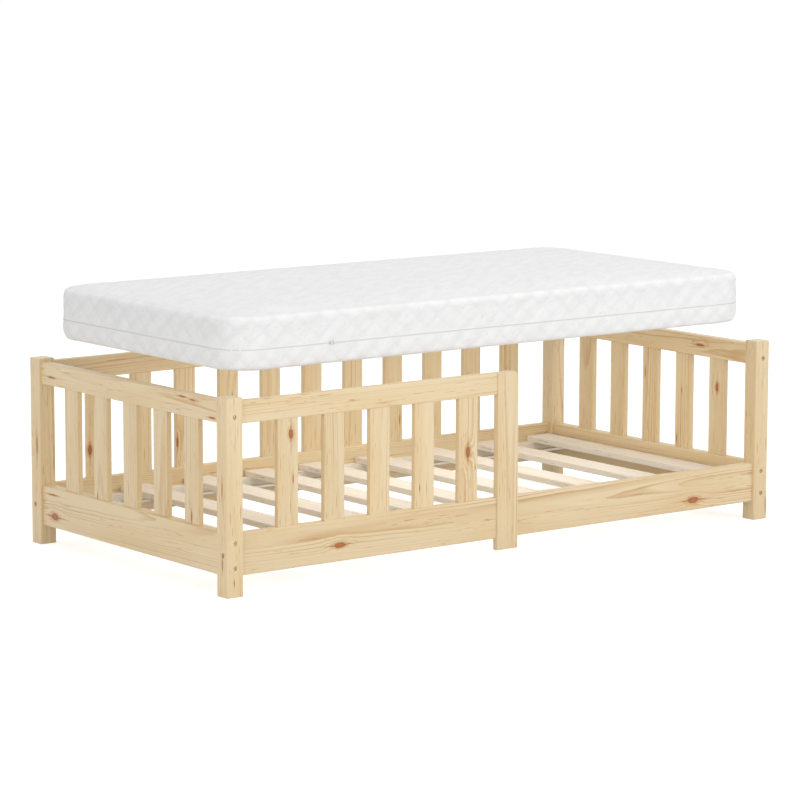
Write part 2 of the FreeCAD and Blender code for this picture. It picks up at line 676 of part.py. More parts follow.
def make_zip():
    """The closed zip round the mattress, and the slider that runs along its front."""
    body = new_body("mattress_zip")
    band = new_sketch(body, "Band", "XY_Plane")
    for inset in ("0", "Sizes.zip_thickness"):
        draw_rounded_rectangle(band, "%s - 2 * %s" % (mattress_length, inset),
                               "%s - 2 * %s" % (mattress_width, inset), "Sizes.mattress_corner - %s" % inset)
    pad(body, band, "Sizes.zip_width", midplane=True)
    place(body, z="Sizes.mattress_lift + Sizes.zip_height")
    nodes["mattress_zip"] = body

    slider = new_body("zip_slider")
    plate = new_sketch(slider, "Plate", "XZ_Plane")
    draw_rectangle(plate, "Sizes.slider_length", "Sizes.slider_height")
    block = pad(slider, plate, "Sizes.slider_plate")
    doc.recompute()
    soften(slider, block, edges_where(slider.Shape, along(1)), "Sizes.slider_height / 4", "Chamfer")
    bridge = new_sketch(slider, "Bridge", "XZ_Plane", out="Sizes.slider_plate")
    draw_rectangle(bridge, "Sizes.slider_length * 0.6", "Sizes.slider_height / 2")
    pad(slider, bridge, "Sizes.slider_bridge")
    place(slider, x="Sizes.slider_place", y="-%s / 2 - Sizes.zip_clearance" % mattress_width,
          z="Sizes.mattress_lift + Sizes.zip_height")
    nodes["zip_slider"] = slider


for end_name, end in (("head", HEAD), ("foot", FOOT)):
    for side_name, side in (("front", FRONT), ("back", BACK)):
        make_post("%s_%s_post" % (end_name, side_name), end, side, (end, side) != (FOOT, FRONT))
make_side_rails()
for end_name, end in (("head", HEAD), ("foot", FOOT)):
    make_end_rails(end_name, end)
make_uprights()
make_guard_post()
for side_name, side in (("front", FRONT), ("back", BACK)):
    make_ledger(side_name + "_ledger", side)
make_slats()
for side_name, side in (("front", FRONT), ("back", BACK)):
    make_tape(side_name + "_slat_tape", side)
make_post_screws()
make_mattress()
make_zip()

doc.recompute()
for item in doc.Objects:
    if "Invalid" in item.State or "Error" in item.State:
        raise ValueError("%s did not recompute: %s" % (item.Label, item.State))
for label, item in nodes.items():
    if item.Shape.isNull() or not item.Shape.isValid():
        raise ValueError("%s has no sound shape" % label)
    item.Shape.exportStep("parts/%s.step" % label)
print("%d nodes" % len(nodes))
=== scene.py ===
import json
import math
import random

import bmesh
import bpy
import numpy as np
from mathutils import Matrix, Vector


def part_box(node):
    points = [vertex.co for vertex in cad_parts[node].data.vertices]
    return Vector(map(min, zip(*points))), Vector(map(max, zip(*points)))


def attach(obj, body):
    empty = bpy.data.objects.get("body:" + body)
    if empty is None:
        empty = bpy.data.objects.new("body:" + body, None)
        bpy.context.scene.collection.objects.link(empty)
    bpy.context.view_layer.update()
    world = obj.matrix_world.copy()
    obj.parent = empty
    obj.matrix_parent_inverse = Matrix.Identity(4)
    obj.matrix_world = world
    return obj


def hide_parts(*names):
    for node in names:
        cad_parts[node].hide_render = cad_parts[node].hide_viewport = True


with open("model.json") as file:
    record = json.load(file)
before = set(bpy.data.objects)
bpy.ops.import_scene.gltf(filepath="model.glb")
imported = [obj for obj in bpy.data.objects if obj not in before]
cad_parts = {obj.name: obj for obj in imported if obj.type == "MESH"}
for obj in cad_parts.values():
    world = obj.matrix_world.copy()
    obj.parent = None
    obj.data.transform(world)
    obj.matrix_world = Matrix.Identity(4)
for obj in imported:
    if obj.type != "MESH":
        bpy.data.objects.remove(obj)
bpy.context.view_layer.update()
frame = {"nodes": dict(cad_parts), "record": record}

nodes = frame["nodes"]
print("bed frame loaded,", len(nodes), "nodes")


def tone(red, green, blue):
    # a colour picked on screen, 0 to 255, as the renderer wants it
    shares = [c / 255 for c in (red, green, blue)]
    return tuple(s / 12.92 if s <= 0.04045 else ((s + 0.055) / 1.055) ** 2.4 for s in shares) + (1.0,)


def put(tree, value, socket):
    if isinstance(value, bpy.types.NodeSocket):
        tree.links.new(value, socket)
    elif value is not None:
        socket.default_value = value


def mathStep(tree, operation, *values):
    step = tree.nodes.new("ShaderNodeMath")
    step.operation = operation
    for value, socket in zip(values, step.inputs):
        put(tree, value, socket)
    return step.outputs[0]


def vectorStep(tree, operation, *values):
    step = tree.nodes.new("ShaderNodeVectorMath")
    step.operation = operation
    for value, socket in zip(values, step.inputs):
        put(tree, value, socket)
    return step.outputs["Value" if operation == "LENGTH" else "Vector"]


def noiseOn(tree, vector, stretch, detail=2.0, roughness=0.5):
    # stretch is how many features there are per metre along each axis
    noise = tree.nodes.new("ShaderNodeTexNoise")
    put(tree, vectorStep(tree, "MULTIPLY", vector, stretch), noise.inputs["Vector"])
    put(tree, 1.0, noise.inputs["Scale"])
    put(tree, detail, noise.inputs["Detail"])
    put(tree, roughness, noise.inputs["Roughness"])
    return noise.outputs["Fac"]


def easeStep(tree, value, low, high, start=0.0, end=1.0):
    step = tree.nodes.new("ShaderNodeMapRange")
    step.interpolation_type = "SMOOTHSTEP"
    limits = {"Value": value, "From Min": low, "From Max": high, "To Min": start, "To Max": end}
    for label, item in limits.items():
        put(tree, item, step.inputs[label])
    return step.outputs["Result"]


def colourRamp(tree, value, stops):
    ramp = tree.nodes.new("ShaderNodeValToRGB")
    marks = ramp.color_ramp.elements
    while len(marks) < len(stops):
        marks.new(0.5)
    for mark, (place, colour) in zip(marks, stops):
        mark.position = place
        mark.color = colour
    put(tree, value, ramp.inputs["Fac"])
    return ramp.outputs["Color"]


def blendColours(tree, share, first, second, kind="MIX"):
    mix = tree.nodes.new("ShaderNodeMix")
    mix.data_type = "RGBA"
    mix.blend_type = kind
    put(tree, share, mix.inputs[0])
    put(tree, first, mix.inputs[6])
    put(tree, second, mix.inputs[7])
    return mix.outputs[2]


def newGroup(name, takes, gives):
    group = bpy.data.node_groups.new(name, "ShaderNodeTree")
    for way, sockets in (("INPUT", takes), ("OUTPUT", gives)):
        for label, kind in sockets:
            group.interface.new_socket(label, in_out=way, socket_type="NodeSocket" + kind)
    start = group.nodes.new("NodeGroupInput")
    end = group.nodes.new("NodeGroupOutput")
    return group, start.outputs, end.inputs


def useGroup(tree, group, **values):
    step = tree.nodes.new("ShaderNodeGroup")
    step.node_tree = group
    for label, value in values.items():
        put(tree, value, step.inputs[label])
    return step.outputs


def newMaterial(name):
    material = bpy.data.materials.new(name)
    material.use_nodes = True
    tree = material.node_tree
    shader = tree.nodes["Principled BSDF"]
    return material, tree, shader


def bumpOn(tree, shader, height, distance, strength=1.0):
    bump = tree.nodes.new("ShaderNodeBump")
    put(tree, distance, bump.inputs["Distance"])
    put(tree, strength, bump.inputs["Strength"])
    put(tree, height, bump.inputs["Height"])
    put(tree, bump.outputs["Normal"], shader.inputs["Normal"])


# Pine. Every board is cut from its own log: rings round a pith line that lies outside the board,
# knots where the branches were.

pine = {
    "ringGap": 0.0042,
    "spring": tone(230, 209, 169),
    "summer": tone(196, 152, 97),
    "warm": tone(221, 189, 138),
    "knotHalo": tone(199, 150, 98),
    "dash": tone(174, 122, 70),
    "heart": [(0.0, tone(148, 74, 26)), (0.20, tone(190, 112, 44)), (0.42, tone(154, 82, 28)),
              (0.56, tone(188, 110, 42)), (0.72, tone(116, 60, 20))],
    "grainDepth": 0.00018,
    "wander": 0.011,       # how far the rings stray along the log
    "waver": 0.0014,       # and their small ripples
    "tailWidth": 0.24,     # of a knot's radius
    "shallowFrom": 4,      # a mark longer than this many widths doesn't go through the board
    "coatRoughness": 0.28,
}

rawPine = {
    "spring": tone(244, 235, 220),
    "summer": tone(230, 211, 184),
    "warm": tone(239, 225, 203),
}

# place of each knot or resin streak in metres, its radius, and how much longer it is along the grain
knots = {
    "head_bottom_rail": [((-0.8385, 0.3316, 0.0767), 0.0080, 1.9),
                         ((-0.8385, 0.3397, 0.1307), 0.0020, 9.0)],
    "head_top_rail": [((-0.8385, 0.3396, 0.4236), 0.0020, 8.0), ((-0.8385, -0.2358, 0.4467), 0.0022, 6.0),
                      ((-0.8385, -0.2793, 0.4436), 0.0018, 6.0), ((-0.8385, -0.3590, 0.4116), 0.0022, 5.0)],
    "head_back_post": [((-0.8460, 0.3997, 0.2485), 0.0026, 8.0)],
    "head_front_post": [((-0.8460, -0.4090, 0.2517), 0.0018, 9.0),
                        ((-0.8460, -0.4094, 0.0768), 0.0018, 8.0)],
    "head_upright_1": [((-0.8320, -0.2627, 0.1653), 0.0026, 4.5)],
    "front_side_rail": [((-0.5194, -0.4210, 0.0873), 0.0060, 2.6),
                        ((0.5966, -0.4210, 0.0738), 0.0074, 2.4)],
    "guard_upright_1": [((-0.6584, -0.4185, 0.3648), 0.0060, 1.9)],
    "guard_upright_5": [((-0.1344, -0.4185, 0.2703), 0.0064, 2.0)],
    "foot_upright_1": [((0.8170, -0.2649, 0.3267), 0.0055, 2.0)],
    "foot_top_rail": [((0.8105, -0.2039, 0.4311), 0.0030, 4.5)],
    "foot_front_post": [((0.8443, -0.4290, 0.0350), 0.0030, 7.0)],
    "back_upright_01": [((-0.6895, 0.4035, 0.2199), 0.0055, 2.2)],
    "back_upright_03": [((-0.4268, 0.4035, 0.2145), 0.0026, 5.0)],
}


def makeKnotGroup():
    group, given, result = newGroup(
        "pineKnot",
        (("Board", "Vector"), ("Place", "Vector"), ("Stretch", "Vector"), ("Radius", "Float"),
         ("Near", "Float"), ("Bulge", "Float")),
        (("Near", "Float"), ("Bulge", "Float")))
    away = vectorStep(group, "SUBTRACT", given["Board"], given["Place"])
    away = vectorStep(group, "MULTIPLY", away, given["Stretch"])
    wobble = mathStep(group, "MULTIPLY_ADD", noiseOn(group, given["Board"], (90, 90, 90)), 0.5, 0.75)
    reach = mathStep(group, "DIVIDE", vectorStep(group, "LENGTH", away), given["Radius"])
    reach = mathStep(group, "MULTIPLY", reach, wobble)
    # a thin dark tail runs out of each end along the grain
    share = vectorStep(group, "DIVIDE", away, (1.0, pine["tailWidth"], pine["tailWidth"]))
    share = vectorStep(group, "MULTIPLY", share, (0.42, 1.0, 1.0))
    tail = mathStep(group, "DIVIDE", vectorStep(group, "LENGTH", share), given["Radius"])
    tail = mathStep(group, "MULTIPLY_ADD", tail, wobble, 0.15)
    near = mathStep(group, "MINIMUM", reach, tail)
    put(group, mathStep(group, "MINIMUM", near, given["Near"]), result["Near"])
    # the rings swell round the branch and run on past it
    fall = mathStep(group, "POWER", mathStep(group, "DIVIDE", reach, 2.4), 2.0)
    swell = mathStep(group, "POWER", 2.718, mathStep(group, "MULTIPLY", fall, -1.0))
    swell = mathStep(group, "MULTIPLY", swell, mathStep(group, "MULTIPLY", given["Radius"], 1.5))
    put(group, mathStep(group, "ADD", swell, given["Bulge"]), result["Bulge"])
    return group


def makeRingGroup():
    group, given, result = newGroup(
        "pineRings",
        (("Board", "Vector"), ("Log", "Vector"), ("Near", "Float"), ("Bulge", "Float"), ("Tone", "Float"),
         ("Spring", "Color"), ("Summer", "Color"), ("Warm", "Color")),
        (("Color", "Color"), ("Rough", "Float"), ("Height", "Float")))
    board, log = given["Board"], given["Log"]
    drift = noiseOn(group, log, (1.4, 13, 13), 2.0)
    waver = noiseOn(group, log, (8, 60, 60), 2.0)
    radius = vectorStep(group, "LENGTH", vectorStep(group, "MULTIPLY", log, (0, 1, 1)))
    radius = mathStep(group, "MULTIPLY_ADD", drift, pine["wander"], radius)
    radius = mathStep(group, "MULTIPLY_ADD", waver, pine["waver"], radius)
    radius = mathStep(group, "ADD", radius, given["Bulge"])
    years = mathStep(group, "DIVIDE", radius, pine["ringGap"])
    # good and lean years
    lean = group.nodes.new("ShaderNodeTexNoise")
    lean.noise_dimensions = "1D"
    put(group, mathStep(group, "MULTIPLY", years, 0.45), lean.inputs["W"])
    put(group, 1.0, lean.inputs["Scale"])
    put(group, 1.0, lean.inputs["Detail"])
    years = mathStep(group, "MULTIPLY_ADD", lean.outputs["Fac"], 1.9, years)
    season = mathStep(group, "FRACT", years)
    late = mathStep(group, "MULTIPLY",
                    easeStep(group, season, 0.52, 0.93),
                    easeStep(group, season, 0.95, 1.0, 1.0, 0.0))
    strong = easeStep(group, noiseOn(group, log, (1.6, 24, 24), 2.0), 0.40, 0.70, 0.14, 0.90)
    late = mathStep(group, "MULTIPLY", late, strong)

    fibre = noiseOn(group, board, (11, 520, 520), 3.0, 0.6)
    fleck = easeStep(group, noiseOn(group, board, (70, 1300, 1300), 1.0), 0.70, 0.78)
    streak = noiseOn(group, board, (3.2, 140, 140), 2.0)
    cloud = noiseOn(group, board, (2.5, 9, 9), 2.0)
    # short brown dashes of resin, in loose groups
    dash = easeStep(group, noiseOn(group, board, (20, 340, 340), 1.0), 0.645, 0.72)
    grouped = easeStep(group, noiseOn(group, board, (4, 26, 26), 1.0), 0.42, 0.58)
    dash = mathStep(group, "MULTIPLY", dash, grouped)

    colour = blendColours(group, late, given["Spring"], given["Summer"])
    colour = blendColours(group, easeStep(group, cloud, 0.42, 0.75, 0.0, 0.55), colour, given["Warm"])
    colour = blendColours(group, mathStep(group, "MULTIPLY", dash, 0.60), colour, pine["dash"])
    shade = mathStep(group, "MULTIPLY_ADD", fibre, 0.13, 0.90)
    shade = mathStep(group, "MULTIPLY_ADD", streak, 0.07, shade)
    shade = mathStep(group, "MULTIPLY_ADD", fleck, -0.13, shade)
    shade = mathStep(group, "MULTIPLY", shade, given["Tone"])
    grey = group.nodes.new("ShaderNodeCombineXYZ")
    for socket in grey.inputs:
        put(group, shade, socket)
    colour = blendColours(group, 1.0, colour, grey.outputs[0], "MULTIPLY")

    near = given["Near"]
    halo = easeStep(group, near, 0.9, 2.3, 0.75, 0.0)
    colour = blendColours(group, halo, colour, pine["knotHalo"])
    heart = colourRamp(group, mathStep(group, "MULTIPLY", near, 0.8), pine["heart"])
    core = easeStep(group, near, 0.92, 1.06, 1.0, 0.0)
    colour = blendColours(group, core, colour, heart)
    put(group, colour, result["Color"])
    rough = mathStep(group, "MULTIPLY_ADD", late, -0.07, 0.0)
    put(group, mathStep(group, "MULTIPLY_ADD", fibre, 0.10, rough), result["Rough"])
    height = mathStep(group, "MULTIPLY_ADD", late, 0.5, mathStep(group, "MULTIPLY", fibre, 0.5))
    put(group, mathStep(group, "MULTIPLY_ADD", fleck, -0.4, height), result["Height"])
    return group


knotGroup = makeKnotGroup()
ringGroup = makeRingGroup()


def boardAxes(name):
    # the grain runs along the longest side, and knots go through the thinnest
    low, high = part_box(name)
    order = sorted(range(3), key=lambda axis: low[axis] - high[axis])
    middle = [(low[axis] + high[axis]) / 2 for axis in range(3)]
    return order, middle, [high[axis] - low[axis] for axis in order]


def makePine(name, colours, roughness, coat, chance):
    order, middle, spans = boardAxes(name)
    material, tree, shader = newMaterial("pine_" + name)
    place = tree.nodes.new("ShaderNodeTexCoord").outputs["Object"]
    place = vectorStep(tree, "SUBTRACT", place, middle)
    apart = tree.nodes.new("ShaderNodeSeparateXYZ")
    put(tree, place, apart.inputs[0])
    turned = tree.nodes.new("ShaderNodeCombineXYZ")
    for socket, axis in zip(turned.inputs, order):
        put(tree, apart.outputs[axis], socket)
    board = turned.outputs[0]

    pithSide = chance.choice((-1, 1))
    log = tree.nodes.new("ShaderNodeMapping")
    put(tree, board, log.inputs["Vector"])
    log.inputs["Location"].default_value = (
        chance.uniform(2, 90),
        chance.uniform(-1.1, 1.1) * max(spans[1], 0.05),
        pithSide * (chance.uniform(0.030, 0.110) + 0.5 * spans[2]))
    log.inputs["Rotation"].default_value = (0, chance.uniform(-0.012, 0.012), chance.uniform(-0.010, 0.010))

    # a branch runs through the board from the face that its knot lies on; a long streak of resin is shallow
    marks = []
    for centre, radius, long in knots.get(name, ()):
        away = [centre[axis] - middle[axis] for axis in order]
        through = max((1, 2), key=lambda side: abs(away[side]) / spans[side])
        marks.append((away, radius, long, through))
    for streak in range(chance.choice((0, 1, 1, 2)) if spans[0] > 0.25 else 0):
        away = [chance.uniform(-0.45, 0.45) * spans[0], chance.uniform(-0.42, 0.42) * spans[1],
                chance.choice((-0.5, 0.5)) * spans[2]]
        marks.append((away, chance.uniform(0.0010, 0.0018), chance.uniform(5, 9), 2))
    near, bulge = 9.0, 0.0
    for away, radius, long, through in marks:
        stretch = [1 / long, 1, 1]
        if long < pine["shallowFrom"]:
            stretch[through] = 0
        found = useGroup(tree, knotGroup, Board=board, Place=away, Stretch=stretch, Radius=radius,
                         Near=near, Bulge=bulge)
        near, bulge = found["Near"], found["Bulge"]
    wood = useGroup(tree, ringGroup, Board=board, Log=log.outputs[0], Near=near, Bulge=bulge,
                    Tone=chance.uniform(0.97, 1.02), Spring=colours["spring"], Summer=colours["summer"],
                    Warm=colours["warm"])
    put(tree, wood["Color"], shader.inputs["Base Color"])
    put(tree, mathStep(tree, "ADD", wood["Rough"], roughness), shader.inputs["Roughness"])
    shader.inputs["Coat Weight"].default_value = coat
    shader.inputs["Coat Roughness"].default_value = pine["coatRoughness"]
    bumpOn(tree, shader, wood["Height"], pine["grainDepth"], 0.6)
    return material


def dress(name, material):
    slots = nodes[name].material_slots
    if not slots:
        nodes[name].data.materials.append(material)
    for slot in nodes[name].material_slots:
        slot.material = material


chance = random.Random(20)
for row in frame["record"]["subparts"]:
    name, finish = row["node"], row["material_slot"]
    if finish == "pine_lacquered":
        dress(name, makePine(name, pine, 0.40, 0.25, chance))
    elif finish == "pine_raw":
        dress(name, makePine(name, rawPine, 0.62, 0.0, chance))
print("pine grain on the boards")


# Steel screws in the posts, white tape under the slats, the zip and its slider

steelLook = {"dull": tone(196, 184, 152), "bright": tone(228, 218, 190), "scratchDepth": 0.00005}
# the tape's gap colour is painted shade between its threads
tapeLook = {"thread": 0.0011, "pick": 0.0014, "depth": 0.0003, "gap": tone(205, 204, 200),
            "yarn": tone(243, 243, 240)}
sliderLook = {"dull": tone(168, 168, 170), "bright": tone(206, 206, 208)}
# the zip's gap colour is painted shade between its teeth
zipLook = {"toothGap": 0.0024, "toothEnd": (0.0011, 0.0016), "toothHeight": 0.0006,
           "tape": tone(248, 248, 247), "teeth": tone(236, 236, 235), "gap": tone(212, 212, 212)}


def makeSteel():
    steel, tree, shader = newMaterial("zincSteel")
    place = tree.nodes.new("ShaderNodeTexCoord").outputs["Object"]
    stain = noiseOn(tree, place, (240, 240, 240), 3.0)
    scratch = noiseOn(tree, place, (60, 2600, 900), 2.0)
    colour = blendColours(tree, stain, steelLook["dull"], steelLook["bright"])
    put(tree, colour, shader.inputs["Base Color"])
    shader.inputs["Metallic"].default_value = 1.0
    put(tree, mathStep(tree, "MULTIPLY_ADD", stain, 0.25, 0.25), shader.inputs["Roughness"])
    bumpOn(tree, shader, scratch, steelLook["scratchDepth"], 0.5)
    return steel


def makeTape():
    tape, tree, shader = newMaterial("slatTape")
    place = tree.nodes.new("ShaderNodeTexCoord").outputs["Object"]
    weave = []
    for direction, gap in (("X", tapeLook["thread"]), ("Y", tapeLook["pick"])):
        wave = tree.nodes.new("ShaderNodeTexWave")
        wave.bands_direction = direction
        put(tree, place, wave.inputs["Vector"])
        put(tree, 0.314 / gap, wave.inputs["Scale"])      # the node counts 20 radians to a unit
        weave.append(wave.outputs["Fac"])
    cloth = mathStep(tree, "MULTIPLY", *weave)
    # painted shade: between the threads the weave is darker, as if in shade
    put(tree, blendColours(tree, cloth, tapeLook["gap"], tapeLook["yarn"]), shader.inputs["Base Color"])
    put(tree, mathStep(tree, "MULTIPLY_ADD", cloth, -0.1, 0.9), shader.inputs["Roughness"])
    bumpOn(tree, shader, cloth, tapeLook["depth"])
    return tape


def makeZipBand():
    band, tree, shader = newMaterial("zipBand")
    place = tree.nodes.new("ShaderNodeTexCoord").outputs["Object"]
    apart = tree.nodes.new("ShaderNodeSeparateXYZ")
    put(tree, place, apart.inputs[0])
    low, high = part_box("mattress_zip")
    rise = mathStep(tree, "ABSOLUTE", mathStep(tree, "SUBTRACT", apart.outputs[2], (low[2] + high[2]) / 2))
    run = mathStep(tree, "ADD", apart.outputs[0], apart.outputs[1])
    tooth = mathStep(tree, "SINE", mathStep(tree, "MULTIPLY", run, 2 * math.pi / zipLook["toothGap"]))
    tooth = easeStep(tree, tooth, -0.4, 0.5)
    inside = easeStep(tree, rise, *zipLook["toothEnd"], 1.0, 0.0)
    teeth = mathStep(tree, "MULTIPLY", tooth, inside)
    # painted shade: the gaps between the teeth are darker, as if in shade
    gap = mathStep(tree, "MULTIPLY", mathStep(tree, "SUBTRACT", 1.0, tooth), inside)
    colour = blendColours(tree, teeth, zipLook["tape"], zipLook["teeth"])
    colour = blendColours(tree, gap, colour, zipLook["gap"])
    put(tree, colour, shader.inputs["Base Color"])
    put(tree, mathStep(tree, "MULTIPLY_ADD", teeth, -0.45, 0.85), shader.inputs["Roughness"])
    bumpOn(tree, shader, teeth, zipLook["toothHeight"])
    return band


def makeSliderMetal():
    metal, tree, shader = newMaterial("sliderMetal")
    place = tree.nodes.new("ShaderNodeTexCoord").outputs["Object"]
    stain = noiseOn(tree, place, (500, 500, 500), 3.0)
    colour = blendColours(tree, stain, sliderLook["dull"], sliderLook["bright"])
    put(tree, colour, shader.inputs["Base Color"])
    shader.inputs["Metallic"].default_value = 1.0
    put(tree, mathStep(tree, "MULTIPLY_ADD", stain, 0.15, 0.18), shader.inputs["Roughness"])
    return metal


sliderMetal = makeSliderMetal()
dress("post_screws", makeSteel())
slatTape = makeTape()
dress("front_slat_tape", slatTape)
dress("back_slat_tape", slatTape)
dress("mattress_zip", makeZipBand())
dress("zip_slider", sliderMetal)
print("screws, tapes and zip")


# The mattress: a foam block in a zipped cover of quilted white jersey

mattress = {
    "inset": 0.003,        # how much smaller it starts, before it swells
    "corner": 0.084,
    "edge": 0.014,
    "voxel": 0.0115,
    "frames": 20,          # of the cloth pass
    "swell": 0.006,        # the cloth pass's moves are cut to this
    "crown": 0.006,        # how much lower the top is at its ends than in the middle
    "quiltPitch": 0.0640,
    "quiltRise": 0.062,
    "quiltDepth": 0.0038,
    "seamDepth": 0.0026,
    "seamWidth": 0.010,
    "zipValley": 0.0010,
    "topDepth": 0.0003,
    "footing": 0.0002,     # how far the flat underside stays above the block's own
    "outline": 0.086,      # corner radius of the finished outline
    "seamRise": 0.049,     # of the scalloped seam above the zip
    "scallop": 0.004,
    "hollowRise": 0.045,   # of one row of hollows above the zip, the others are counted from it
    "zipSpread": 0.009,
    "sideBand": (-0.034, -0.010),    # the side comes in between these distances from the outline
    "flank": (0.035, 0.105),         # heights of the upright part of the side
    "crownBand": (0.08, 0.13),
    "quiltFoot": (0.002, 0.016),     # heights where the quilting begins
    "quiltHead": (0.106, 0.126),     # and where it ends
    "fill": 0.9,
}

# how the cover is blown out, in the cloth settings' own names
swelling = {
    "quality": 4,
    "mass": 0.3,
    "tension_stiffness": 30,
    "compression_stiffness": 30,
    "bending_stiffness": 2.0,
    "use_pressure": True,
    "uniform_pressure_force": 4,
}

jersey = {
    "wale": 0.0016,
    "course": 0.0014,
    "pale": tone(245, 245, 245),
    "palest": tone(250, 250, 250),
    "dash": tone(226, 226, 226),
    # hollow is the colour of the painted shade in the quilting's hollows
    "hollow": tone(234, 234, 235),
    "slant": -38,          # degrees
    "knitDepth": 0.0004,
}


def onlySelect(piece):
    bpy.ops.object.select_all(action="DESELECT")
    piece.select_set(True)
    bpy.context.view_layer.objects.active = piece


def selectEdges(piece, test):
    # picks the edges whose two ends pass the test, in edit mode
    bpy.ops.mesh.select_mode(type="EDGE")
    bpy.ops.mesh.select_all(action="DESELECT")
    mesh = bmesh.from_edit_mesh(piece.data)
    for edge in mesh.edges:
        if test(*(piece.matrix_world @ end.co for end in edge.verts)):
            edge.select_set(True)
    bmesh.update_edit_mesh(piece.data)


def pointsOf(piece):
    flat = np.empty(len(piece.data.vertices) * 3)
    piece.data.vertices.foreach_get("co", flat)
    return flat.reshape(-1, 3)


def setPoints(piece, points):
    piece.data.vertices.foreach_set("co", np.ascontiguousarray(points).ravel())
    piece.data.update()


def smoothly(value, low, high):
    share = np.clip((value - low) / (high - low), 0, 1)
    return share * share * (3 - 2 * share)


def roundMattress():
    low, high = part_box("mattress")
    inset = mattress["inset"]
    spans = [high[k] - low[k] - 2 * inset for k in range(3)]
    middle = [(low[k] + high[k]) / 2 for k in range(3)]
    bpy.ops.object.select_all(action="DESELECT")
    bpy.ops.mesh.primitive_cube_add(size=1, location=middle, scale=spans)
    pad = bpy.context.active_object
    pad.name = pad.data.name = "quilted_mattress"
    bpy.ops.object.transform_apply(location=True, rotation=True, scale=True)
    bpy.ops.object.mode_set(mode="EDIT")
    selectEdges(pad, lambda a, b: abs(a.z - b.z) > 0.01)
    bpy.ops.mesh.bevel(offset=mattress["corner"], segments=10, affect="EDGES")
    selectEdges(pad, lambda a, b: abs(a.z - b.z) < 1e-5 and abs(abs(a.z - middle[2]) - spans[2] / 2) < 1e-5)
    bpy.ops.mesh.bevel(offset=mattress["edge"], segments=5, affect="EDGES")
    bpy.ops.object.mode_set(mode="OBJECT")
    return pad, low, high


def applyModifier(piece, kind, **values):
    onlySelect(piece)
    bpy.ops.object.modifier_add(type=kind)
    step = piece.modifiers[-1]
    for key, value in values.items():
        setattr(step, key, value)
    bpy.ops.object.modifier_apply(modifier=step.name)


def swellMattress(pad):
    # the cloth pass blows the cover out by about 100 mm, far more than a mattress swells, so for most
    # points only the way out is kept from it, and the swell value sets how far they move
    applyModifier(pad, "REMESH", mode="VOXEL", voxel_size=mattress["voxel"])
    start = pointsOf(pad)
    onlySelect(pad)
    bpy.ops.object.modifier_add(type="CLOTH")
    cloth = pad.modifiers[-1]
    for key, value in swelling.items():
        setattr(cloth.settings, key, value)
    cloth.settings.effector_weights.gravity = 0
    cloth.point_cache.frame_start = 1
    cloth.point_cache.frame_end = mattress["frames"]
    for step in range(1, mattress["frames"] + 1):
        bpy.context.scene.frame_set(step)
    bpy.ops.object.modifier_apply(modifier=cloth.name)
    bpy.context.scene.frame_set(1)
    moved = pointsOf(pad) - start
    length = np.linalg.norm(moved, axis=1, keepdims=True)
    furthest = mattress["swell"]
    print("cloth pass moves the cover by", round(float(np.median(length)) * 1000, 2), "mm, at most",
          round(float(length.max()) * 1000, 1), "mm, cut to", furthest * 1000, "mm on",
          round(float((length > furthest).mean()) * 100, 1), "percent of its points")
    setPoints(pad, start + moved * np.minimum(1, furthest / np.maximum(length, 1e-9)))


def roundedOutline(points, halfLong, halfWide, corner):
    # how far outside the outline each point is, its way out, and its place round the perimeter
    place = points[:, :2]
    sign = np.where(place >= 0, 1.0, -1.0)
    over = np.abs(place) - np.array([halfLong - corner, halfWide - corner])
    beyond = np.maximum(over, 0)
    reach = np.linalg.norm(beyond, axis=1)
    distance = reach + np.minimum(over.max(axis=1), 0) - corner
    way = np.where(reach[:, None] > 1e-9, beyond / np.maximum(reach[:, None], 1e-9),
                   np.where((over[:, 0] > over[:, 1])[:, None], [1.0, 0.0], [0.0, 1.0])) * sign
    turn = np.arctan2(way[:, 1], way[:, 0])
    straightX, straightY = 2 * (halfLong - corner), 2 * (halfWide - corner)
    quarter = corner * math.pi / 2
    around = np.zeros(len(points))
    # front, foot end, back and head end in turn, each with the corner after it
    steps = ((-math.pi / 2, 0, 1), (0.0, 1, 1), (math.pi / 2, 0, -1), (math.pi, 1, -1))
    begin = 0.0
    for angle, axis, direction in steps:
        straight = straightX if axis == 0 else straightY
        turned = (turn - angle + math.pi) % (2 * math.pi) - math.pi
        mine = (turned >= -1e-6) & (turned < math.pi / 2 - 1e-6)
        along = np.clip(place[:, axis] * direction, -straight / 2, straight / 2) + straight / 2
        around[mine] = (begin + along + np.clip(turned, 0, None) * corner)[mine]
        begin += straight + quarter
    return distance, way, around, begin


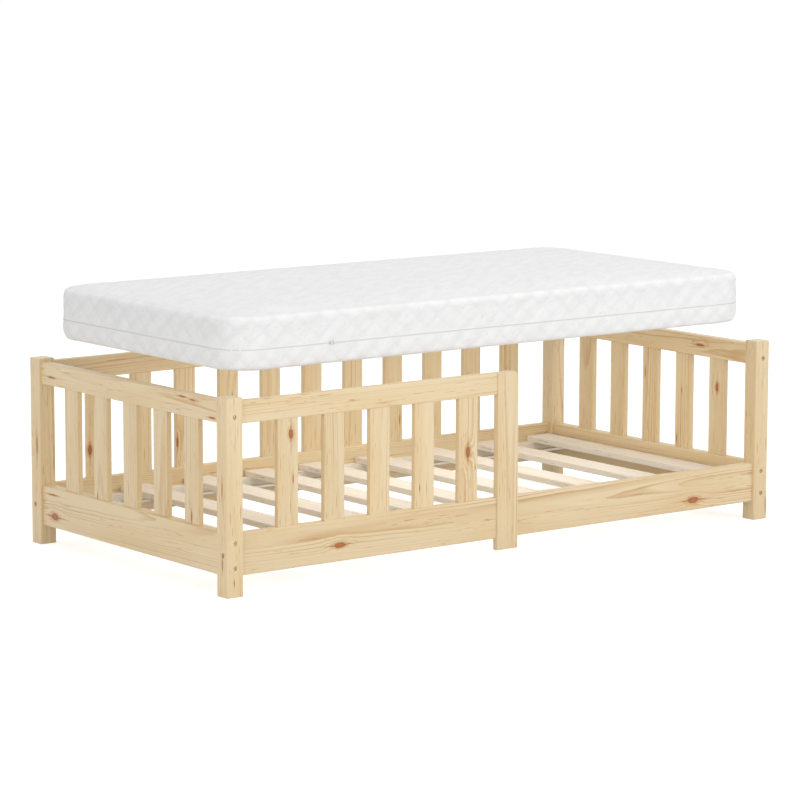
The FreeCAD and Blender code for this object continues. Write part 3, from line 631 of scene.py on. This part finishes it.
def quiltMattress(pad, low, high):
    points = pointsOf(pad)
    halfLong, halfWide = high[0], high[1]
    height = points[:, 2] - low[2]
    distance, way, around, perimeter = roundedOutline(points, halfLong, halfWide, mattress["outline"])
    pad.data.update()
    normals = np.empty(len(points) * 3)
    pad.data.vertices.foreach_get("normal", normals)
    normals = normals.reshape(-1, 3)

    zipLow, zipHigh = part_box("mattress_zip")
    zipHeight = (zipLow[2] + zipHigh[2]) / 2 - low[2]
    seamHeight = zipHeight + mattress["seamRise"]
    side = smoothly(distance, *mattress["sideBand"])

    # the sides come out to the outline, and the top falls a little towards its ends
    lowest, highest = mattress["flank"]
    flank = (height > lowest) & (height < highest) & (distance > -0.02)
    points[:, :2] -= way * (np.median(distance[flank]) * side)[:, None]
    level = (1 - (points[:, 0] / halfLong) ** 4) * (1 - (points[:, 1] / halfWide) ** 4)
    points[:, 2] -= mattress["crown"] * (1 - level) * smoothly(height, *mattress["crownBand"])

    pitch = perimeter / round(perimeter / mattress["quiltPitch"])
    rise = (height - zipHeight - mattress["hollowRise"]) / mattress["quiltRise"]
    first = around / pitch + rise
    second = around / pitch - rise
    puff = np.abs(np.sin(math.pi * first)) * np.abs(np.sin(math.pi * second))
    nearZip = np.exp(-((height - zipHeight) / mattress["zipSpread"]) ** 2)
    scallop = seamHeight + mattress["scallop"] * np.cos(2 * math.pi * around / pitch)
    nearSeam = np.exp(-((height - scallop) / mattress["seamWidth"]) ** 2)
    out = (puff - 0.5) * mattress["quiltDepth"] * side * (1 - nearZip)
    out *= smoothly(height, *mattress["quiltFoot"])
    out *= 1 - smoothly(height, *mattress["quiltHead"])
    out -= mattress["seamDepth"] * nearSeam * side
    points = points + normals * out[:, None]

    # the cover dips along the zip
    distance, way = roundedOutline(points, halfLong, halfWide, mattress["outline"])[:2]
    wanted = -mattress["zipValley"]
    points[:, :2] += way * ((wanted - distance) * nearZip * (side > 0.5))[:, None]

    # a faint slanting ripple over the top
    top = 1 - side
    ripple = np.sin(points[:, 0] * 190 - points[:, 1] * 150) * np.sin(points[:, 0] * 47 + points[:, 1] * 83)
    points[:, 2] += ripple * mattress["topDepth"] * top * (normals[:, 2] > 0.5)
    # the underside is flat, because it rests on the slats
    points[:, 2] = np.maximum(points[:, 2], low[2] + mattress["footing"])
    setPoints(pad, points)

    cloth = np.where((side > 0.5)[:, None], np.column_stack((around, height)), points[:, :2])
    layer = pad.data.attributes.new("clothPlace", "FLOAT_VECTOR", "POINT")
    layer.data.foreach_set("vector", np.column_stack((cloth, np.zeros(len(cloth)))).ravel())
    # a mask of the quilting's hollows, for the painted shade in the jersey's colour
    layer = pad.data.attributes.new("quiltHollowShade", "FLOAT", "POINT")
    layer.data.foreach_set("value", (1 - smoothly(puff, 0.08, 0.34)) * side * (1 - nearZip))


def makeJersey():
    cover, tree, shader = newMaterial("quiltedJersey")
    place = tree.nodes.new("ShaderNodeAttribute")
    place.attribute_name = "clothPlace"
    place = place.outputs["Vector"]
    apart = tree.nodes.new("ShaderNodeSeparateXYZ")
    put(tree, place, apart.inputs[0])
    column = mathStep(tree, "MULTIPLY", apart.outputs[0], 2 * math.pi / jersey["wale"])
    lean = mathStep(tree, "ABSOLUTE", mathStep(tree, "SINE", mathStep(tree, "MULTIPLY", column, 0.5)))
    rowPlace = mathStep(tree, "MULTIPLY", apart.outputs[1], 2 * math.pi / jersey["course"])
    rowPlace = mathStep(tree, "MULTIPLY_ADD", lean, -1.6, rowPlace)
    knit = mathStep(tree, "MULTIPLY", mathStep(tree, "SINE", rowPlace), 0.5)
    knit = mathStep(tree, "MULTIPLY_ADD", lean, 0.5, knit)
    cloud = noiseOn(tree, place, (22, 22, 22), 3.0, 0.6)
    slant = tree.nodes.new("ShaderNodeMapping")
    put(tree, place, slant.inputs["Vector"])
    slant.inputs["Rotation"].default_value = (0, 0, math.radians(jersey["slant"]))
    dash = easeStep(tree, noiseOn(tree, slant.outputs[0], (60, 300, 1), 1.0), 0.66, 0.73)
    drift = easeStep(tree, noiseOn(tree, slant.outputs[0], (12, 46, 1), 2.0), 0.35, 0.65)
    colour = blendColours(tree, drift, jersey["pale"], jersey["palest"])
    colour = blendColours(tree, mathStep(tree, "MULTIPLY", dash, 0.8), colour, jersey["dash"])
    # painted shade: the knit is made a little greyer in the quilting's hollows, where shade falls
    hollow = tree.nodes.new("ShaderNodeAttribute")
    hollow.attribute_name = "quiltHollowShade"
    hollowShade = mathStep(tree, "MULTIPLY", hollow.outputs["Fac"], 0.34)
    colour = blendColours(tree, hollowShade, colour, jersey["hollow"])
    put(tree, colour, shader.inputs["Base Color"])
    put(tree, mathStep(tree, "MULTIPLY_ADD", cloud, 0.08, 0.84), shader.inputs["Roughness"])
    shader.inputs["Sheen Weight"].default_value = 0.15
    shader.inputs["Sheen Roughness"].default_value = 0.5
    shader.inputs["Specular IOR Level"].default_value = 0.2
    height = mathStep(tree, "MULTIPLY_ADD", dash, -0.5, knit)
    bumpOn(tree, shader, mathStep(tree, "MULTIPLY_ADD", cloud, 1.2, height), jersey["knitDepth"], 0.6)
    return cover


pad, low, high = roundMattress()
swellMattress(pad)
applyModifier(pad, "SUBSURF", levels=1, render_levels=1)
quiltMattress(pad, low, high)
pad.data.materials.append(makeJersey())
onlySelect(pad)
bpy.ops.object.shade_smooth()
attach(pad, "mattress_body")
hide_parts("mattress")
print("mattress,", len(pad.data.vertices), "points")


# The slider's flat pull tab, lying along the zip

puller = {
    "length": 0.013,
    "height": 0.0048,
    "thick": 0.0009,
    "overlap": 0.004,      # with the slider
    "rim": 0.0013,
    "rimSlope": 0.0002,
    "edge": 0.00015,
}


def makePuller():
    low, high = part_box("zip_slider")
    middle = (high[0] + puller["length"] / 2 - puller["overlap"], low[1] - puller["thick"] / 2,
              (low[2] + high[2]) / 2)
    bpy.ops.object.select_all(action="DESELECT")
    bpy.ops.mesh.primitive_cube_add(size=1, location=middle,
                                    scale=(puller["length"], puller["thick"], puller["height"]))
    tab = bpy.context.active_object
    tab.name = tab.data.name = "zip_puller"
    bpy.ops.object.transform_apply(location=True, rotation=True, scale=True)
    bpy.ops.object.mode_set(mode="EDIT")
    selectEdges(tab, lambda a, b: abs(a.y - b.y) > puller["thick"] / 2)
    bpy.ops.mesh.bevel(offset=puller["height"] * 0.42, segments=4, affect="EDGES")
    # the flat face gets a raised rim
    bpy.ops.mesh.select_mode(type="FACE")
    bpy.ops.mesh.select_all(action="DESELECT")
    mesh = bmesh.from_edit_mesh(tab.data)
    for face in mesh.faces:
        if face.normal.y < -0.9:
            face.select_set(True)
    bmesh.update_edit_mesh(tab.data)
    bpy.ops.mesh.inset(thickness=puller["rim"], depth=0)
    bpy.ops.mesh.inset(thickness=puller["rimSlope"], depth=-puller["thick"] * 0.4)
    bpy.ops.object.mode_set(mode="OBJECT")
    applyModifier(tab, "BEVEL", width=puller["edge"], segments=2, limit_method="ANGLE")
    onlySelect(tab)
    bpy.ops.object.shade_smooth_by_angle(angle=math.radians(35))
    tab.data.materials.append(sliderMetal)
    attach(tab, "slider_body")


makePuller()
print("zip puller")


# Floor, light and camera

studio = {
    "floor": 90,
    "paper": 0.80,
    "floorWhite": 0.62,      # how much of the white the floor gives by itself
    "sky": 0.5,
    # place, watts, width
    "key": ((1.6, -5.4, 3.2), 150, 4.5),
    "fill": ((-5.6, -2.2, 1.0), 90, 3.0),
    "top": ((0.6, 0.8, 5.5), 86, 4.0),
    "low": ((0, 0, 0.505), 2.2, 1.3),
    "lowDepth": 0.55,
}

view = {
    "place": (-5.2276, -6.8155, 1.6403),
    "turn": (81.350, -0.1465, -37.3529),     # degrees
    "lens": 154.72,
    "sensor": 36,
    "farthest": 300,
}


def whiteForTheEye(tree):
    # one where the camera, or a mirror or glass, looks; nothing for the light on the bed
    path = tree.nodes.new("ShaderNodeLightPath")
    seen = mathStep(tree, "MAXIMUM", path.outputs["Is Camera Ray"], path.outputs["Is Glossy Ray"])
    return mathStep(tree, "MAXIMUM", seen, path.outputs["Is Transmission Ray"])


def addLamp(name):
    place, power, width = studio[name]
    bpy.ops.object.light_add(type="AREA", location=place)
    lamp = bpy.context.active_object
    lamp.name = name + "_lamp"
    lamp.data.energy = power
    lamp.data.size = width
    return lamp


def makeStudio():
    bpy.ops.object.select_all(action="DESELECT")
    bpy.ops.mesh.primitive_plane_add(size=studio["floor"], location=(0, 0, 0))
    floor = bpy.context.active_object
    floor.name = "studio_floor"
    paper = bpy.data.materials.new("studioPaper")
    paper.use_nodes = True
    tree = paper.node_tree
    tree.nodes.clear()
    matt = tree.nodes.new("ShaderNodeBsdfDiffuse")
    matt.inputs["Color"].default_value = (studio["paper"],) * 3 + (1,)
    glow = tree.nodes.new("ShaderNodeEmission")
    white = mathStep(tree, "MULTIPLY", whiteForTheEye(tree), studio["floorWhite"])
    put(tree, white, glow.inputs["Strength"])
    both = tree.nodes.new("ShaderNodeAddShader")
    put(tree, matt.outputs[0], both.inputs[0])
    put(tree, glow.outputs[0], both.inputs[1])
    output = tree.nodes.new("ShaderNodeOutputMaterial")
    put(tree, both.outputs[0], output.inputs["Surface"])
    floor.data.materials.append(paper)

    world = bpy.context.scene.world or bpy.data.worlds.new("studioSky")
    bpy.context.scene.world = world
    world.use_nodes = True
    tree = world.node_tree
    sky = tree.nodes["Background"]
    sky.inputs["Color"].default_value = (1, 1, 1, 1)
    put(tree, mathStep(tree, "MULTIPLY_ADD", whiteForTheEye(tree), 1 - studio["sky"], studio["sky"]),
        sky.inputs["Strength"])

    for name in ("key", "fill", "top"):
        lamp = addLamp(name)
        aim = -lamp.location
        lamp.rotation_euler = aim.to_track_quat("-Z", "Y").to_euler()
    # a soft lamp under the mattress, so that it doesn't darken the slats; it goes down with the mattress
    lamp = addLamp("low")
    lamp.data.shape = "RECTANGLE"
    lamp.data.size_y = studio["lowDepth"]
    lamp.visible_camera = False
    lamp.parent = bpy.data.objects["quilted_mattress"]


def makeCamera():
    bpy.ops.object.camera_add(location=view["place"])
    camera = bpy.context.active_object
    camera.rotation_euler = [math.radians(a) for a in view["turn"]]
    camera.data.lens = view["lens"]
    camera.data.sensor_width = view["sensor"]
    camera.data.clip_end = view["farthest"]
    bpy.context.scene.camera = camera


makeStudio()
makeCamera()
bpy.context.scene.view_settings.view_transform = "Standard"
print("studio")
